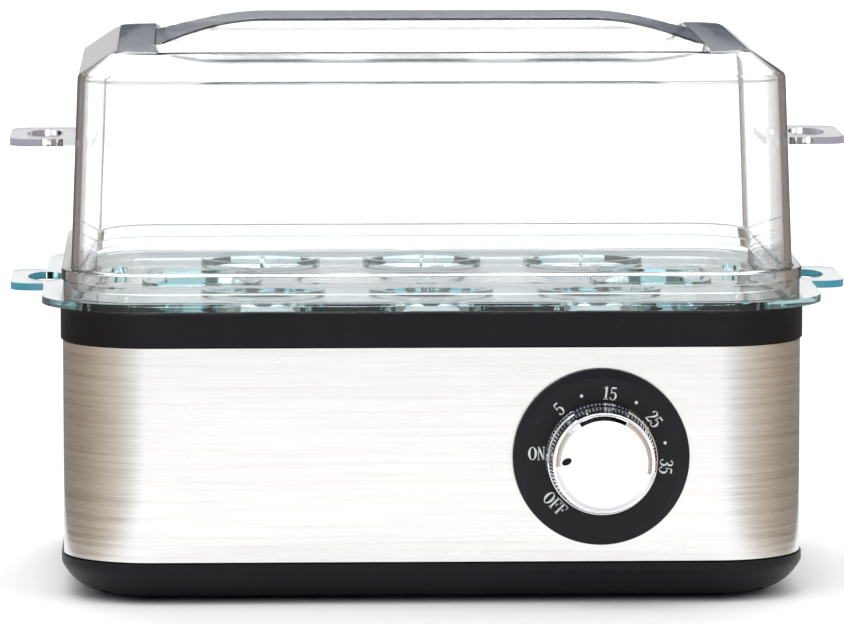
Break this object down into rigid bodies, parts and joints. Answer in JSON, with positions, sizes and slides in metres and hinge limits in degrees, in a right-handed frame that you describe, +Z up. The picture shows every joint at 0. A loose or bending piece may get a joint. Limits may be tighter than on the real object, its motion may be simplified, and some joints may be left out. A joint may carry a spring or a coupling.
{
  "type": "electric egg boiler",
  "caption": "Small electric egg boiler: black base and top ring, brushed steel band, timer dial with a chromed knob, clear tray with seat holes and ears, clear lid with an arched grip.",
  "frame": {"origin": "on the table, under the middle of the whole object's bounding box", "axes": "+Z up, -Y towards the front with the dial, +X to the right seen from the front, along the longest side"},
  "size_m": [0.2286, 0.1636, 0.1531],
  "materials": {
    "black_plastic": "satin moulded",
    "dial_plastic": "satin moulded",
    "brushed_steel": "fine grain along its length",
    "steel": "mill finish",
    "chrome": "mirror",
    "aluminium": "cast, as made",
    "brass": "plain",
    "clear": "clear, polished",
    "aqua": "clear with a pale aqua tint, polished",
    "rubber": "matt",
    "silicone": "matt",
    "insulator": "matt",
    "pale_plastic": "satin moulded",
    "dark_steel": "heat-darkened",
    "lead_brown": "extruded",
    "lead_blue": "extruded",
    "lead_green": "extruded, green and yellow",
    "lead_white": "heat-resistant sleeve"
  },
  "bodies": {
    "housing": {"base": "black_plastic", "bezel": "black_plastic", "steel_band": "brushed_steel", "dial_plate": "dial_plastic", "pan_seal": "silicone", "heating_pan": "steel", "heater_plate": "aluminium", "heating_element": "dark_steel", "pan_bracket_left": "steel", "pan_bracket_right": "steel", "pan_nut_left": "steel", "pan_nut_right": "steel", "thermostat": "insulator", "thermostat_screw_left": "steel", "thermostat_screw_right": "steel", "thermal_fuse": "lead_white", "timer_case": "pale_plastic", "timer_cover": "pale_plastic", "timer_tab_live": "brass", "timer_tab_load": "brass", "timer_bell": "steel", "timer_screw_left": "steel", "timer_screw_right": "steel", "terminal_block": "pale_plastic", "terminal_screw": "steel", "cord_gland": "rubber", "lead_live": "lead_brown", "lead_timer": "lead_brown", "lead_heater": "lead_white", "lead_fuse": "lead_white", "lead_neutral": "lead_blue", "lead_earth": "lead_green", "base_screw_front_left": "steel", "foot_front_left": "rubber", "base_screw_front_right": "steel", "foot_front_right": "rubber", "base_screw_back_left": "steel", "foot_back_left": "rubber", "base_screw_back_right": "steel", "foot_back_right": "rubber"},
    "tray": {"egg_tray": "aqua"},
    "lid": {"lid": "clear"},
    "knob": {"timer_knob": "chrome", "timer_shaft": "steel", "timer_cam": "pale_plastic"}
  },
  "joints": [
    {"name": "tray_lift", "type": "slide", "parent": "housing", "child": "tray", "axis": [0, 0, 1], "range_m": [0, 0.1]},
    {"name": "lid_lift", "type": "slide", "parent": "tray", "child": "lid", "axis": [0, 0, 1], "range_m": [0, 0.12]},
    {"name": "timer_turn", "type": "hinge", "parent": "housing", "child": "knob", "pos_m": [0.0443, -0.069, 0.0397], "axis": [0, 1, 0], "range_deg": [-48, 184]}
  ]
}
